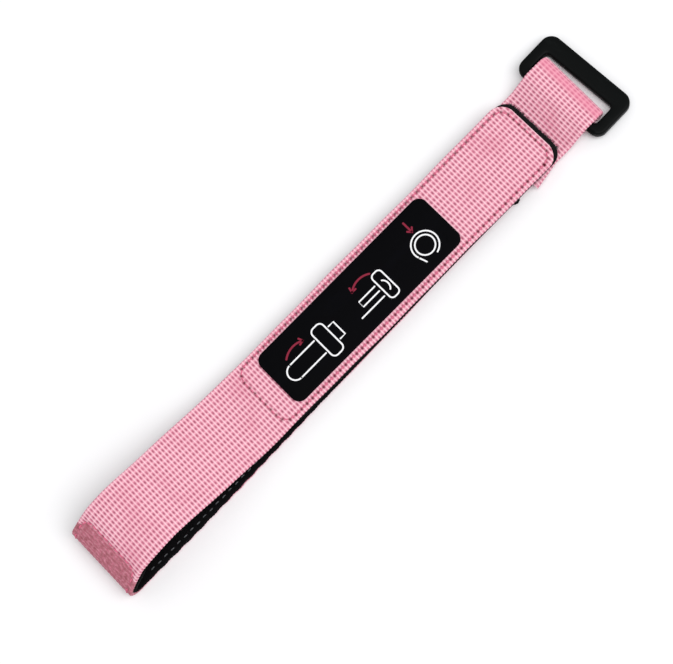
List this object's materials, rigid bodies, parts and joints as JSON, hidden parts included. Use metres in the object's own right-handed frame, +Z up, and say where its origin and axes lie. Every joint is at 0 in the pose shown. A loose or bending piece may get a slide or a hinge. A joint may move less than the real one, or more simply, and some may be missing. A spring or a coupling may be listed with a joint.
{
  "type": "hook and loop cinch strap",
  "caption": "Woven cinch strap folded back on itself, with hook-and-loop tape inside, a moulded ring in a sewn eye at one end and a printed label patch on the free leg.",
  "frame": {"origin": "under the middle of the folded strap, on the surface it lies on", "axes": "+X from the fold to the ring, +Y across the strap, +Z up"},
  "size_m": [0.2086, 0.034, 0.0139],
  "materials": {
    "webbing": "matt ribbed weave",
    "loop_tape": "fuzzy pile",
    "hook_tape": "fine nylon hooks",
    "black_thread": "twisted thread",
    "pink_thread": "twisted thread",
    "label": "satin",
    "ring": "satin moulded"
  },
  "bodies": {
    "root": {"webbing_lower": "webbing", "webbing_eye": "webbing", "webbing_curl": "webbing", "loop_tape_lower": "loop_tape", "loop_tape_curl": "loop_tape", "loop_tape_seam_near": "black_thread", "loop_tape_seam_far": "black_thread", "eye_seam": "pink_thread"},
    "ring": {"ring": "ring"},
    "nose": {"webbing_nose": "webbing", "loop_tape_nose": "loop_tape", "loop_tape_end_seam": "pink_thread", "nose_seam_near": "pink_thread", "nose_seam_far": "pink_thread"},
    "slope": {"webbing_slope": "webbing"},
    "landing": {"webbing_landing": "webbing"},
    "tip": {"webbing_tip": "webbing", "hook_tape": "hook_tape", "hook_tape_seam": "pink_thread", "label_patch": "label"}
  },
  "joints": [
    {"name": "ring_swing", "type": "hinge", "parent": "root", "child": "ring", "pos_m": [0.089, 0, 0.00305], "axis": [0.0523, -0.9986, 0], "range_deg": [-84, 120]},
    {"name": "fold_open", "type": "hinge", "parent": "root", "child": "nose", "pos_m": [-0.10368, 0, 0.00244], "axis": [0, -1, 0], "range_deg": [0, 125.5]},
    {"name": "crown_flex", "type": "hinge", "parent": "nose", "child": "slope", "pos_m": [-0.09487, 0, 0.01286], "axis": [0, -1, 0], "range_deg": [0, 66.5]},
    {"name": "landing_flex", "type": "hinge", "parent": "slope", "child": "landing", "pos_m": [-0.04495, 0, 0.00487], "axis": [0, -1, 0], "range_deg": [-12, 0]},
    {"name": "tip_peel", "type": "hinge", "parent": "landing", "child": "tip", "pos_m": [-0.03883, 0, 0.00585], "axis": [0, 1, 0], "range_deg": [-100, 0]}
  ],
  "couplings": [
    {"joint": "crown_flex", "follows": "fold_open", "ratio": 0.52988},
    {"joint": "landing_flex", "follows": "fold_open", "ratio": -0.09561}
  ]
}
